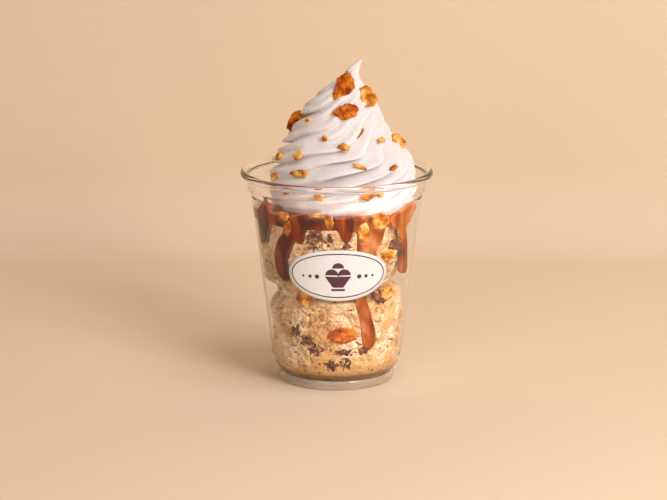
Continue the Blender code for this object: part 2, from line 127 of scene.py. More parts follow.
# %% [markdown]
# Shapes from rings
#
# Almost everything in the cup is a closed body that can be drawn as a stack of rings: the cream, the scoops,
# the drips and the broken pieces. One function turns rings into a mesh, closes its ends and shades it, and
# a smooth line through a few named sizes gives each ring its radius.

# %% Smooth lines and uneven values
def smooth_line(at, places, values):
    """Values read off a smooth line through the given ones, with no overshoot."""
    places = np.asarray(places, float)
    values = np.asarray(values, float)
    steps = np.diff(values) / np.diff(places)
    slopes = np.concatenate([steps[:1], (steps[1:] + steps[:-1]) / 2, steps[-1:]])
    turned = np.concatenate([[False], steps[1:] * steps[:-1] <= 0, [False]])
    slopes[turned] = 0.0
    at = np.clip(np.asarray(at, float), places[0], places[-1])
    cell = np.clip(np.searchsorted(places, at) - 1, 0, len(places) - 2)
    width = places[cell + 1] - places[cell]
    t = (at - places[cell]) / width
    rise = values[cell + 1] - values[cell]
    start = slopes[cell] * width
    end = slopes[cell + 1] * width
    return values[cell] + start * t + (3 * rise - 2 * start - end) * t**2 + (start + end - 2 * rise) * t**3


def rough(points, size, seed=0.0):
    """A repeatable uneven value, about -1 to 1, at each point, in lumps of this size in millimetres."""
    shift = np.array([17.3, -5.1, 3.7]) * seed
    return np.array([noise.noise(Vector(p)) for p in np.asarray(points) / size + shift])


def between(low, high, value):
    """0 below low, 1 above high and a soft step in between."""
    t = np.clip((value - low) / (high - low), 0, 1)
    return t * t * (3 - 2 * t)


# %% Meshes
def ring_mesh(rings):
    """Points and faces of a closed body through equal rings of points, its two ends closed by fans."""
    rings = np.asarray(rings, float)
    rows, count, _ = rings.shape
    points = rings.reshape(-1, 3)
    start = np.arange(rows - 1)[:, None] * count
    i = np.arange(count)[None, :]
    j = (i + 1) % count
    walls = np.stack([start + i, start + j, start + count + j, start + count + i], -1).reshape(-1, 4)
    faces = walls.tolist()
    for first, ring in ((0, rings[0]), ((rows - 1) * count, rings[-1])):
        middle = len(points)
        points = np.vstack([points, ring.mean(axis=0)])
        faces += [(first + a, first + (a + 1) % count, middle) for a in range(count)]
    return points, faces


def joined(points, faces, more, sides):
    """The points and faces of two bodies as one mesh."""
    return np.vstack([points, more]), faces + [tuple(i + len(points) for i in side) for side in sides]


# %% Pieces
def new_object(name, data):
    """An object in the scene."""
    thing = bpy.data.objects.new(name, data)
    bpy.context.scene.collection.objects.link(thing)
    return thing


def turn_outwards(mesh):
    """Turns all faces outwards."""
    shape = bmesh.new()
    shape.from_mesh(mesh)
    bmesh.ops.recalc_face_normals(shape, faces=shape.faces)
    shape.to_mesh(mesh)
    shape.free()


def new_piece(name, points, faces, material, smooth=True, **marks):
    """An object from points in millimetres, with its faces outwards and its named marks on the points."""
    mesh = bpy.data.meshes.new(name)
    mesh.from_pydata((np.asarray(points) * MM).tolist(), [], faces)
    for mark, values in marks.items():
        mesh.attributes.new(mark, "FLOAT", "POINT").data.foreach_set("value", np.asarray(values, np.float32))
    turn_outwards(mesh)
    if smooth:
        mesh.shade_smooth()
    if material:
        mesh.materials.append(material)
    return new_object(name, mesh)


def settle(piece, slot, *nodes):
    """The piece rides with the cup and stands for these solids. The slot is not used."""
    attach(piece, "root")
    if nodes:
        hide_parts(*nodes)
    print(piece.name, "faces:", len(piece.data.polygons))
    return piece


def apply_modifiers(piece):
    """Turns the piece's modifiers into its mesh."""
    graph = bpy.context.evaluated_depsgraph_get()
    mesh = bpy.data.meshes.new_from_object(piece.evaluated_get(graph), depsgraph=graph)
    piece.modifiers.clear()
    piece.data = mesh


def points_of(piece):
    """The piece's points in millimetres."""
    points = np.empty(len(piece.data.vertices) * 3, np.float32)
    piece.data.vertices.foreach_get("co", points)
    return points.reshape(-1, 3) / MM


def move_points(piece, points):
    """Puts the piece's points at these places, in millimetres."""
    piece.data.vertices.foreach_set("co", (points * MM).ravel())
    piece.data.update()


def dress(piece, *materials):
    """The piece gets these materials and no others."""
    piece.data.materials.clear()
    for material in materials:
        piece.data.materials.append(material)


# %% [markdown]
# The cup's wall
#
# The tumbler is thermoformed: a hot sheet of clear plastic drawn into a mould, which gives it one thin wall,
# a rounded corner over a foot ring and a lip rolled outwards. All of it is one profile turned round the
# axis. The contents need the same profile, because they press against the inside, so it is a function.

# %% Cup sizes
LIP_RADIUS = 49.0
CUP_HEIGHT = 109.0
LIP_ROLL = 1.8
FOOT_RADIUS = 29.4
WALL = 0.9
FLOOR = 6.6
WALL_HEIGHTS = (5.2, 6.0, 9.2, 13.0, 17.0, 97.0, 99.2, 105.0)
WALL_RADII = (29.0, 29.8, 31.9, 33.1, 33.6, 43.8, 45.4, 46.0)
INSIDE_HEIGHTS = (FLOOR, 8.4, 13.0, 17.0, 97.0)
INSIDE_RADII = (27.0, 30.6, 32.15, 32.7, 42.9)
FOOT_RING_TALL = 4.4
FOOT_RING_WIDE = 3.2


# %% Cup surfaces
def outside_radius(height):
    """Radius of the wall's outer face."""
    return np.interp(height, WALL_HEIGHTS, WALL_RADII)


def inside_radius(height):
    """Radius that the contents may reach: the straight wall's, which goes on under the wider shoulder."""
    slope = (INSIDE_RADII[-1] - INSIDE_RADII[-2]) / (INSIDE_HEIGHTS[-1] - INSIDE_HEIGHTS[-2])
    over = np.maximum(0.0, np.asarray(height, float) - INSIDE_HEIGHTS[-1])
    return np.interp(height, INSIDE_HEIGHTS, INSIDE_RADII) + over * slope


def wall_point(angle, height, depth):
    """Points this deep inside the wall's inner face. The angle is from the front, in radians."""
    radius = inside_radius(height) - depth
    return np.stack([radius * np.sin(angle), -radius * np.cos(angle), height + 0 * radius], -1)


def arc(x, y, radius, turns):
    """Points on a circle round this place, at these angles in radians."""
    return [(x + radius * math.cos(t), y + radius * math.sin(t)) for t in turns]


def rounded(profile, reach, steps=4):
    """A profile with its corners cut to short curves, which catch the light as moulded plastic does."""
    smooth = [profile[0]]
    for before, corner, after in zip(profile, profile[1:], profile[2:]):
        before, corner, after = (np.array(p, float) for p in (before, corner, after))
        a = corner + (before - corner) * min(0.45, reach / max(np.linalg.norm(before - corner), 1e-6))
        b = corner + (after - corner) * min(0.45, reach / max(np.linalg.norm(after - corner), 1e-6))
        for t in np.linspace(0, 1, steps):
            smooth.append(tuple((1 - t) ** 2 * a + 2 * t * (1 - t) * corner + t**2 * b))
    return smooth + [profile[-1]]


# %% [markdown]
# Clear plastic
#
# The plastic is clear polypropylene with an IOR of about 1.48. The wall is modelled with its real two
# faces, so light bends at each one as it should. A renderer draws almost no light through such a wall into
# the food, so for shadow rays alone the plastic is plain transparent. A very weak, tall-stretched unevenness
# stands for the drawing marks of the mould: without it the highlights look like those of polished glass.
# The foot ring, where cups rub when they are stacked, is a rougher and slightly milky second material. Its
# pale, warm colour is partly painted reflection: it stands in for the bright floor that the clear foot
# shows.

# %% Clear plastic
def clear_plastic():
    """Wall of the cup."""
    material = new_material(
        "clear_polypropylene_thermoformed",
        Base_Color=linear("FFFFFF"), Roughness=0.03, IOR=1.48, Transmission_Weight=1.0,
    )
    place = add_node(material, "TexCoord").outputs["Object"]
    stretch = add_node(material, "Mapping", {"Scale": (1.0, 1.0, 0.12)}, {"Vector": place})
    marks = add_node(material, "TexNoise", {"Scale": span(11.1), "Detail": 2.0}, {"Vector": stretch})
    bump = add_node(material, "Bump", {"Strength": 0.06, "Distance": 0.0004}, {"Height": marks})
    feed(material, Normal=bump)
    clear_where(material, add_node(material, "LightPath").outputs["Is Shadow Ray"])
    return material


def frosted_foot_and_painted_reflection():
    """Foot ring of the cup: frosted, its pale colour partly painted reflection of the floor."""
    return new_material(
        "clear_polypropylene_frosted_foot",
        Base_Color=linear("FFF2E0"), Roughness=0.12, IOR=1.48, Transmission_Weight=0.76,
    )


# %% Cup
def make_cup():
    """The cup's profile, inside, lip, outside and foot, turned round the axis."""
    rolled = np.radians(np.arange(205, -111, -15))
    lip = arc(LIP_RADIUS - LIP_ROLL, CUP_HEIGHT - LIP_ROLL, LIP_ROLL, rolled)
    inside = [(0.0, FLOOR), *zip(INSIDE_RADII, INSIDE_HEIGHTS), (45.4 - WALL, 99.2), (46.0 - WALL, 105.2)]
    outside = [(46.0, 104.6), *list(zip(WALL_RADII, WALL_HEIGHTS))[-2::-1]]
    foot = [(29.0, 4.6), (FOOT_RADIUS, 3.8), (FOOT_RADIUS, 0.5), (FOOT_RADIUS - 0.5, 0.0)]
    foot += [(FOOT_RADIUS - 1.6, 0.0), (FOOT_RADIUS - 1.9, 4.6), (FOOT_RADIUS - 3.0, FLOOR - 1.0)]
    profile = rounded(inside, 2.0) + lip + rounded(outside + foot + [(0.0, FLOOR - 1.0)], 0.8)
    mesh = bpy.data.meshes.new("clear_cup")
    edges = [(i, i + 1) for i in range(len(profile) - 1)]
    mesh.from_pydata([(r * MM, 0.0, z * MM) for r, z in profile], edges, [])
    cup = new_object("clear_cup", mesh)
    turn = cup.modifiers.new("turn", "SCREW")
    turn.angle = math.tau
    turn.steps = turn.render_steps = 160
    turn.use_merge_vertices = True
    turn.merge_threshold = 0.00001
    turn.use_smooth_shade = True
    apply_modifiers(cup)
    turn_outwards(cup.data)
    dress(cup, clear_plastic(), frosted_foot_and_painted_reflection())
    # The foot ring's faces get the second material, whose pale colour is partly painted reflection.
    for face in cup.data.polygons:
        spot = face.center / MM
        away = math.hypot(spot.x, spot.y)
        face.material_index = int(spot.z < FOOT_RING_TALL and away > FOOT_RADIUS - FOOT_RING_WIDE)
    return settle(cup, "clear_plastic", "cup")


make_cup()

# %% [markdown]
# The sticker
#
# An oval of coated paper is stuck on the front of the wall. It follows the cone of the cup, so it is made as
# a thin shell in the wall's own coordinates. Its print is a plain keyline and a small sundae drawing, cut as
# thin shapes on the paper, which keeps their edges sharp at any distance.

# %% Paper and ink
STICKER_HEIGHT = 62.4
STICKER_WIDTH = 52.2
STICKER_TALL = 26.8
STICKER_THICK = 0.22
STICKER_TURN = math.radians(1.0)
STICKER_LIFT = 0.02
INK_THICK = 0.03


def coated_paper(name, code, roughness):
    """Smooth coated paper, or ink on it, with a trace of its fibres."""
    material = new_material(name, Roughness=roughness, Specular_IOR_Level=0.4)
    place = add_node(material, "TexCoord").outputs["Object"]
    fibres = add_node(material, "TexNoise", {"Scale": span(1.43), "Detail": 3.0}, {"Vector": place})
    fade = add_node(material, "Math", {1: 0.10}, {0: fibres}, operation="MULTIPLY")
    tone = add_node(
        material, "Mix", {"A": linear(code), "B": linear("C9C6C2")}, {"Factor": fade},
        data_type="RGBA",
    )
    feed(material, Base_Color=tone)
    return material


# %% Shapes on the wall
def on_sticker(across, up, lift):
    """A point on the paper: across and up from its middle, in millimetres, lifted off the wall."""
    height = STICKER_HEIGHT + up
    radius = outside_radius(height) + lift
    angle = STICKER_TURN + across / outside_radius(STICKER_HEIGHT)
    return np.stack([radius * np.sin(angle), -radius * np.cos(angle), height + 0 * radius], -1)


def flat_ring(name, outer, inner, lift, thick, material):
    """A thin oval, or an oval ring where it has an inside, that follows the wall."""
    turns = np.linspace(0, math.tau, 120, endpoint=False)
    inner = inner or (outer[0] * 0.02, outer[1] * 0.02)
    shares = np.linspace(0, 1, 12)
    ovals = [(outer[0] + (inner[0] - outer[0]) * s, outer[1] + (inner[1] - outer[1]) * s) for s in shares]
    rows = [on_sticker(a * np.cos(turns), b * np.sin(turns), lift + thick) for a, b in ovals]
    rows += [on_sticker(a * np.cos(turns), b * np.sin(turns), lift) for a, b in ovals[::-1]]
    count = len(turns)
    i = np.arange(count)[None, :]
    j = (i + 1) % count
    here = np.arange(len(rows))[:, None] * count
    above = np.roll(here, -1, axis=0)
    faces = np.stack([here + i, here + j, above + j, above + i], -1).reshape(-1, 4).tolist()
    return new_piece(name, np.concatenate(rows), faces, material)


def flat_shape(name, outline, lift, thick, material):
    """A thin printed shape with a straight-sided outline, drawn from the middle out."""
    outline = np.asarray(outline, float)
    dense = []
    for a, b in zip(outline, np.roll(outline, -1, axis=0)):
        steps = max(1, int(np.linalg.norm(b - a) / 0.5))
        dense += [a + (b - a) * t / steps for t in range(steps)]
    dense = np.array(dense)
    middle = dense.mean(axis=0)
    shares = (0.02, 0.25, 0.5, 0.75, 1.0)
    rings = []
    for share, height in [(s, lift) for s in shares] + [(s, lift + thick) for s in shares[::-1]]:
        spots = middle + (dense - middle) * share
        rings.append(on_sticker(spots[:, 0], spots[:, 1], height))
    return new_piece(name, *ring_mesh(rings), material)


# %% Sticker and its print
paper = coated_paper("coated_paper_white", "F6FAFF", 0.38)
ink = coated_paper("printed_ink_plum", "55203A", 0.34)
half_wide, half_tall = STICKER_WIDTH / 2, STICKER_TALL / 2
sheet = flat_ring("sticker_paper", (half_wide, half_tall), None, STICKER_LIFT, STICKER_THICK, paper)
settle(sheet, "sticker", "sticker")
top = STICKER_LIFT + STICKER_THICK
outer, inner = ((half_wide - margin, half_tall - margin) for margin in (1.7, 2.3))
settle(flat_ring("sticker_keyline", outer, inner, top, INK_THICK, ink), "sticker")
turns = np.radians(np.arange(0, 181, 12))
drawing = {
    "print_bowl": [(-6.6, -0.4), (6.6, -0.4), (2.6, -6.2), (-2.6, -6.2)],
    "print_foot": [(-3.4, -6.9), (3.4, -6.9), (3.4, -8.0), (-3.4, -8.0)],
    "print_left_scoop": arc(-3.1, 0.3, 3.2, turns),
    "print_right_scoop": arc(3.1, 0.3, 3.2, turns),
    "print_top_scoop": arc(0.0, 3.9, 2.9, turns),
}
around = np.radians(np.arange(0, 360, 24))
for side in (-1, 1):
    for step, dot in enumerate((1.15, 0.9, 0.65)):
        spot = side * (10.6 + 3.6 * step)
        drawing[f"print_dot_{'left' if side < 0 else 'right'}_{step}"] = arc(spot, -0.6, dot, around)
for name, outline in drawing.items():
    settle(flat_shape(name, outline, top, INK_THICK, ink), "sticker")

# %% [markdown]
# Where the caramel runs
#
# The caramel was poured on the upper scoop and ran down between the food and the wall. Each run is a line of
# places on the wall, from top to bottom, with its half width. The same lines also say where the ice cream
# has to lie deeper, so that the caramel shows in front of it. The flakes of biscuit at the wall, with their
# sizes and turns, are listed here too, because both the caramel and the ice cream make room for them.

# %% Runs of caramel
DRIP_DEPTH = 3.0
DRIP_PRESS = 0.5
SAUCE_UNDERSIDE = 85.2
SAUCE_RADIUS = 41.8
SAUCE_MIDDLE = -2.6
DRIPS = {
    "far_left": (
        (-56, 99.4, 1.0), (-56.4, 96.5, 2.0), (-58.7, 92.4, 5.6), (-61, 88, 7.4), (-64, 82, 6.6),
        (-66.5, 77.3, 5.6), (-68, 74.6, 3.4), (-68.2, 73.2, 1.6),
    ),
    "hooked": (
        (-26.5, 93, 4.8), (-26, 89, 4.2), (-28.4, 85.7, 4.2), (-35.5, 81, 4.2), (-40, 77, 4.8),
        (-43.6, 73, 5.2), (-46, 68.5, 5.1), (-46, 63.5, 5.0), (-43, 60, 3.9), (-40.4, 58, 1.8),
    ),
    "beside_hook": (
        (-25.2, 90, 2.8), (-25.8, 84.6, 2.6), (-26.4, 81.2, 2.3), (-26.8, 79.0, 1.7), (-27.0, 78.0, 0.9),
    ),
    "middle": ((6.0, 92, 5.4), (6.3, 87.5, 4.8), (6.6, 84.5, 3.7), (6.8, 81.4, 2.5), (6.7, 79.8, 1.3)),
    "long": (
        (23, 92, 9.2), (24, 88, 9.0), (25, 84, 8.1), (24.5, 80, 7.4), (23.2, 75.5, 6.2), (22, 68, 5.2),
        (20.4, 60, 4.0), (19.3, 50, 3.3), (21.8, 44, 3.3), (24.8, 38, 3.5), (27.6, 32, 4.1), (29.2, 27, 4.3),
        (29.5, 23.7, 3.2), (29.4, 22.1, 1.5),
    ),
    "shoulder_top": (
        (40, 88.8, 1.6), (46, 89.6, 2.8), (51, 90.2, 3.4), (57, 91.0, 3.6), (63, 92.0, 3.2), (69, 92.8, 2.2),
    ),
    "shoulder": ((53.6, 90.0, 8.4), (53.2, 88.2, 9.2), (53.4, 85.8, 8.6), (53.8, 84.4, 5.0)),
    "right": (
        (52.5, 91, 4.6), (53.2, 86, 3.8), (54.5, 81.3, 3.0), (58.3, 75, 2.5), (60.6, 68.4, 3.0),
        (61.6, 63, 3.9), (62.6, 60, 3.4), (62.8, 58.6, 1.6),
    ),
}
WALL_BISCUITS = {
    "biscuit_beside_hook": (-40.2, 91.0, 7.8, 5.8, 6, 1),
    "biscuit_under_hook": (-36.2, 86.0, 4.2, 9.6, -36, 2),
    "biscuit_front": (-5.4, 89.8, 6.2, 8.2, 8, 3),
    "biscuit_in_long_drip": (19.6, 84.2, 6.6, 10.6, -6, 4),
    "biscuit_large": (32.0, 90.0, 11.8, 10.0, 8, 5),
    "biscuit_right": (43.5, 70.8, 9.8, 7.0, -12, 6),
    "biscuit_under_sticker": (-27.0, 49.4, 10.6, 9.4, 14, 7),
    "biscuit_pale": (43.5, 50.4, 6.8, 9.4, 4, 8),
    "biscuit_amber": (6.0, 30.0, 16.4, 10.0, 12, 9),
}


# %% Room on the wall
def drip_line(line, per=6):
    """Angles in radians, heights and half widths along a run, closely spaced."""
    places = np.linspace(0, 1, len(line))
    dense = np.linspace(0, 1, per * (len(line) - 1) + 1)
    angles, heights, halves = (smooth_line(dense, places, [row[k] for row in line]) for k in range(3))
    return np.radians(angles), heights, halves


def cover(angle, height, runs=tuple(DRIPS)):
    """How far inside these runs of caramel each place on the wall is, in millimetres, negative outside."""
    best = np.full(np.shape(angle), -99.0)
    for name in runs:
        for a, h, half in zip(*drip_line(DRIPS[name], per=3)):
            around = inside_radius(h)
            apart = np.hypot((angle - a) * around, height - h)
            best = np.maximum(best, half - apart)
    return best


def near(angle, height, things):
    """How near each place on the wall is to one of these things: 0 in its middle and 1 at its edge."""
    best = np.full(np.shape(angle), 9.0)
    for a, h, wide, tall, *_ in things:
        across = (angle - math.radians(a)) * inside_radius(h)
        best = np.minimum(best, np.hypot(across / (wide / 2), (height - h) / (tall / 2)))
    return best


# %% Caramel shapes
def sauce_top(x, y):
    """Height of the caramel's upper face, where the cream lies on it: higher at the front."""
    front = np.clip(-np.asarray(y, float) / 40, -1, 1)
    wave = np.sin(4.0 * np.arctan2(x, -np.asarray(y, float)) + 0.4) * np.hypot(x, y) / 40
    return 90.4 + 1.5 * front + 0.7 * wave


def drip_body(line):
    """Rings of one run: a bead that is flat towards the wall in its middle and rounded at its sides."""
    angles, heights, halves = drip_line(line, per=6)
    around = inside_radius(heights)
    along = np.column_stack([angles * around, heights])
    heading = np.gradient(along, axis=0)
    heading /= np.linalg.norm(heading, axis=1)[:, None]
    rings = []
    for i, half in enumerate(halves):
        sunk = min(DRIP_DEPTH, half * 0.9 + 0.4)
        side = np.array([heading[i][1], -heading[i][0]])
        turns = np.linspace(0, math.tau, 32, endpoint=False)
        across = half * np.cos(turns)
        front = np.sin(turns) < 0
        bulge = np.abs(np.sin(turns))
        mid = min(1.3, sunk * 0.45)
        depth = np.where(front, mid - (mid + DRIP_PRESS) * bulge**0.6, mid + (sunk - mid) * bulge**0.8)
        spots = along[i] + side * across[:, None]
        rings.append(wall_point(spots[:, 0] / around[i], spots[:, 1], depth))
    return rings


# %% [markdown]
# Caramel
#
# Thick caramel sauce is glossy, deep orange brown where it is thick, and paler and milky where it is thin
# and light comes back out of it. A mark on the mesh blends the two, strongest in the runs at the right and
# at the end of the long run: there the paler colour is partly painted highlight and painted reflection,
# where the light falls. Its own gloss is kept low, because the wall in front of it already mirrors the room.
# The layer and its runs are made one body with a voxel remesh, which melts the joints as a pour does, and
# then smoothed. Where a flake is pressed to the wall, the caramel is pushed back behind it.

# %% Caramel sauce
def caramel():
    """Caramel with streaks that run down."""
    material = new_material(
        "caramel_sauce_poured", Roughness=0.2, IOR=1.49, Subsurface_Weight=0.12, Subsurface_Scale=0.0015,
        Subsurface_Radius=(1.0, 0.3, 0.08), Specular_IOR_Level=0.14,
    )
    place = add_node(material, "TexCoord").outputs["Object"]
    stretch = add_node(material, "Mapping", {"Scale": (1.0, 1.0, 0.35)}, {"Vector": place})
    streaks = add_node(
        material, "TexNoise", {"Scale": span(7.7), "Detail": 3.0, "Distortion": 0.6},
        {"Vector": stretch},
    )
    tone = add_node(material, "ValToRGB", None, {"Fac": streaks})
    set_ramp(tone, (0.34, "3E0A00"), (0.46, "6E1C00"), (0.56, "963600"), (0.70, "BC6220"))
    # The mark mixes in a paler colour: thin sauce, and painted highlight and reflection on the lit runs at
    # the right.
    thin_and_sheen = add_node(material, "Attribute", attribute_name="thin_and_sheen").outputs["Fac"]
    pale = add_node(material, "ValToRGB", None, {"Fac": streaks})
    set_ramp(pale, (0.34, "943808"), (0.46, "B45814"), (0.56, "CC7630"), (0.70, "E8AA7C"))
    mixed = add_node(material, "Mix", None, {"Factor": thin_and_sheen, "A": tone, "B": pale}, data_type="RGBA")
    feed(material, Base_Color=mixed)
    ripple = add_node(material, "TexNoise", {"Scale": span(6.25), "Detail": 1.0}, {"Vector": stretch})
    bump = add_node(material, "Bump", {"Strength": 0.35, "Distance": 0.001}, {"Height": ripple})
    feed(material, Normal=bump)
    return material


# %% Caramel layer and its runs
def make_sauce():
    """The layer and all runs as one melted body."""
    turns = np.linspace(0, math.tau, 180, endpoint=False)
    rings = []
    under = [(0.5, 0.0), (0.88, 0.0), (0.97, 0.4), (1.0, 1.2)]
    over = [(1.0, -1.0), (0.98, 0.0), (0.8, 0.0), (0.4, 0.0)]
    for i, (share, rise) in enumerate(under + over):
        x = SAUCE_RADIUS * share * np.sin(turns) + SAUCE_MIDDLE
        y = -SAUCE_RADIUS * share * np.cos(turns)
        face = SAUCE_UNDERSIDE + 0 * x if i < len(under) else sauce_top(x, y)
        rings.append(np.column_stack([x, y, face + rise]))
    for ring in rings:
        limit = inside_radius(ring[:, 2]) + 0.4
        away = np.hypot(ring[:, 0], ring[:, 1])
        ring[:, :2] *= np.minimum(1.0, limit / away)[:, None]
    points, faces = ring_mesh(rings)
    for line in DRIPS.values():
        points, faces = joined(points, faces, *ring_mesh(drip_body(line)))
    sauce = new_piece("caramel", points, faces, None)
    melt = sauce.modifiers.new("melt", "REMESH")
    melt.mode = "VOXEL"
    melt.voxel_size = 0.55 * MM
    melt.use_smooth_shade = True
    soften = sauce.modifiers.new("soften", "SMOOTH")
    soften.factor = 0.5
    soften.iterations = 5
    apply_modifiers(sauce)
    points = points_of(sauce)
    height = points[:, 2]
    angle = np.arctan2(points[:, 0], -points[:, 1])
    away = np.hypot(points[:, 0], points[:, 1])
    inside = inside_radius(height)
    want = 1.5 * between(1.12, 0.85, near(angle, height, WALL_BISCUITS.values()))
    depth = np.maximum(inside - away, np.where(away > inside - 2.2, want, 0.0))
    points[:, :2] *= (np.minimum(away, inside - depth) / np.maximum(away, 1.0))[:, None]
    move_points(sauce, points)
    # Painted highlight and reflection: the paler colour is strongest on the runs at the right, where the
    # light falls.
    thin_and_sheen = between(-0.6, 1.2, cover(angle, height, ("long", "shoulder_top", "shoulder", "right")))
    thin_and_sheen *= 0.75 + 0.5 * rough(wall_point(angle, height, 0.0), 7, 21) - 0.2 * between(60, 45, height)
    # Painted highlight on the rounded end of the long run.
    thin_and_sheen *= 1 + 0.9 * between(31, 24, height)
    mark = sauce.data.attributes.new("thin_and_sheen", "FLOAT", "POINT")
    mark.data.foreach_set("value", np.clip(thin_and_sheen, 0, 1).astype(np.float32))
    dress(sauce, caramel())
    return settle(sauce, "caramel", "caramel_sauce")


make_sauce()

# %% [markdown]
# Broken pieces
#
# The biscuit is a caramelised wafer broken by hand: flat flakes with a jagged outline. Most are golden and
# five are a darker amber, so one function makes both materials with other colour stops. Each flake is three
# uneven outlines, narrow, wide and narrow, which a voxel remesh turns into a body fine enough to roughen.

# %% Outlines of broken pieces
def piece_rings(width, tall, turn, seed, thick, sides=8):
    """Three outlines of a broken piece, as (across, up, depth): narrower faces and a wider rough middle."""
    lean = math.radians(turn)
    outline = []
    for i in range(sides):
        angle = math.tau * (i + 0.35 * noise.noise(Vector((i * 1.7, seed * 3.1, 0.5)))) / sides
        reach = 1 + 0.5 * noise.noise(Vector((i * 2.3, seed * 5.7, 2.5)))
        x, y = width / 2 * reach * math.cos(angle), tall / 2 * reach * math.sin(angle)
        outline.append((x * math.cos(lean) - y * math.sin(lean), x * math.sin(lean) + y * math.cos(lean)))
    rings = []
    for share, depth in ((0.82, 0.0), (1.0, thick * 0.4), (0.72, thick)):
        ring = []
        for i, (x, y) in enumerate(outline):
            bump = 0.25 * thick * noise.noise(Vector((i * 1.9, share, seed * 2.2)))
            ring.append((x * share, y * share, max(depth + bump, 0.0)))
        rings.append(ring)
    return np.array(rings)


# %% Caramelised biscuit
def caramelised_biscuit(name, stops):
    """Broken biscuit: the stops are its colours from the burnt pits to the pale crumb."""
    material = new_material(
        name, Roughness=0.42, IOR=1.48, Subsurface_Weight=0.12, Subsurface_Scale=0.0015,
        Subsurface_Radius=(1.0, 0.45, 0.15), Specular_IOR_Level=0.2,
    )
    place = add_node(material, "TexCoord").outputs["Object"]
    grain = add_node(material, "TexNoise", {"Scale": span(4.76), "Detail": 4.0}, {"Vector": place})
    tone = add_node(material, "ValToRGB", None, {"Fac": grain})
    set_ramp(tone, *stops)
    feed(material, Base_Color=tone)
    pits = add_node(material, "TexNoise", {"Scale": span(1.43), "Detail": 4.0}, {"Vector": place})
    bump = add_node(material, "Bump", {"Strength": 0.5, "Distance": 0.0005}, {"Height": pits})
    feed(material, Normal=bump)
    return material


golden = caramelised_biscuit(
    "caramelised_biscuit_golden", ((0.34, "8C4208"), (0.44, "C46E10"), (0.53, "E49C34"), (0.66, "F8D08A")),
)
amber = caramelised_biscuit(
    "caramelised_biscuit_amber", ((0.34, "7E2A00"), (0.46, "B05004"), (0.56, "D2720C"), (0.70, "EEAA48")),
)
AMBER_FLAKES = (
    "biscuit_amber", "biscuit_under_hook", "biscuit_top", "biscuit_high_left", "biscuit_below_top",
)
FLAKE_LUMPS = ((2.4, 0.35), (0.8, 0.34))
CRUMB_LUMPS = ((1.6, 0.25), (0.7, 0.15))


# %% Flakes at the wall
def roughen(piece, voxel, steps):
    """A fine mesh for a coarse piece, pushed in and out by lumps, each given by its size and height."""
    fine = piece.modifiers.new("fine", "REMESH")
    fine.mode = "VOXEL"
    fine.voxel_size = voxel * MM
    apply_modifiers(piece)
    points = points_of(piece)
    ways = np.empty(points.size, np.float32)
    piece.data.vertices.foreach_get("normal", ways)
    move = sum(high * rough(points, size, seed) for seed, (size, high) in enumerate(steps))
    move_points(piece, points + ways.reshape(-1, 3) * move[:, None])
    piece.data.shade_smooth()
    return piece


def make_flake(node, points, faces):
    """A rough flake in place of its plain solid."""
    flake = roughen(new_piece(node.replace("biscuit", "flake"), points, faces, None), 0.32, FLAKE_LUMPS)
    dress(flake, amber if node in AMBER_FLAKES else golden)
    settle(flake, "biscuit", node)


def wall_piece(row, thick=2.8):
    """Points and faces of a flake that lies against the inside of the wall and bends with it."""
    angle, height, width, tall, turn, seed = row
    around = inside_radius(height)
    rings = [
        wall_point(math.radians(angle) + ring[:, 0] / around, height + ring[:, 1], ring[:, 2] - 0.1)
        for ring in piece_rings(width, tall, turn, seed, thick)
    ]
    return ring_mesh(rings)


for node, row in WALL_BISCUITS.items():
    make_flake(node, *wall_piece(row))

# %% [markdown]
# Ice cream
#
# Firm scooped ice cream pressed into a cup: it touches the plastic in smeared patches, and between them it
# is crumbly and open, with pockets a few millimetres deep. Each scoop is a stack of rings. A point goes as
# far as the wall at most, and less where a pocket, a run of caramel or a broken piece takes the room. Two
# marks on the mesh colour it: wet where it is smeared and melted, and a darker one that is brown in veins,
# specks and round the clusters of chocolate, and painted shade in the deepest pits and along the bottom,
# where the scoop meets the cup's floor. The clusters are listed as angle, height, width and tallness.

# %% Sizes of the scoops
CHOCOLATE = (
    (-15.8, 82.6, 8.6, 12.0), (-5.0, 81.9, 2.4, 6.6), (7.4, 77.6, 4.2, 3.6),
    (48.5, 74.8, 6.6, 6.4), (37.0, 48.4, 6.6, 6.2), (-37.4, 31.0, 6.4, 7.0), (-26.0, 26.6, 8.0, 4.6),
    (-18.8, 21.6, 6.8, 4.6), (-5.0, 14.6, 7.6, 5.4), (7.6, 15.4, 7.0, 6.0), (4.6, 21.0, 9.6, 3.4),
    (24.0, 21.4, 6.0, 3.6),
)
LOWER_HEIGHTS = (6.55, 9.0, 16.0, 24.0, 33.0, 39.0, 43.0, 46.0, 48.6)
LOWER_RADII = (29.4, 31.6, 32.8, 33.2, 33.8, 34.2, 33.2, 31.4, 28.0)
LOWER_MIDDLES = (0.0, 0.0, 0.1, 0.3, 0.0, -0.6, -0.4, -0.2, -1.2)
UPPER_HEIGHTS = (49.4, 52.0, 54.5, 57.0, 60.0, 64.0, 70.0, 78.0, 85.9)
UPPER_RADII = (28.2, 30.0, 31.8, 34.1, 35.4, 36.5, 37.0, 38.0, 38.0)
UPPER_MIDDLES = (-1.5, -1.2, -1.5, -2.9, -3.1, -3.3, -3.2, -3.0, -3.0)
SCOOP_FORWARD = 1.6
SCOOP_DEPTH = 1.13
WAIST_HEIGHT = 49.0
WAIST_LEAN = 0.085
WAIST_REACH = 14.0


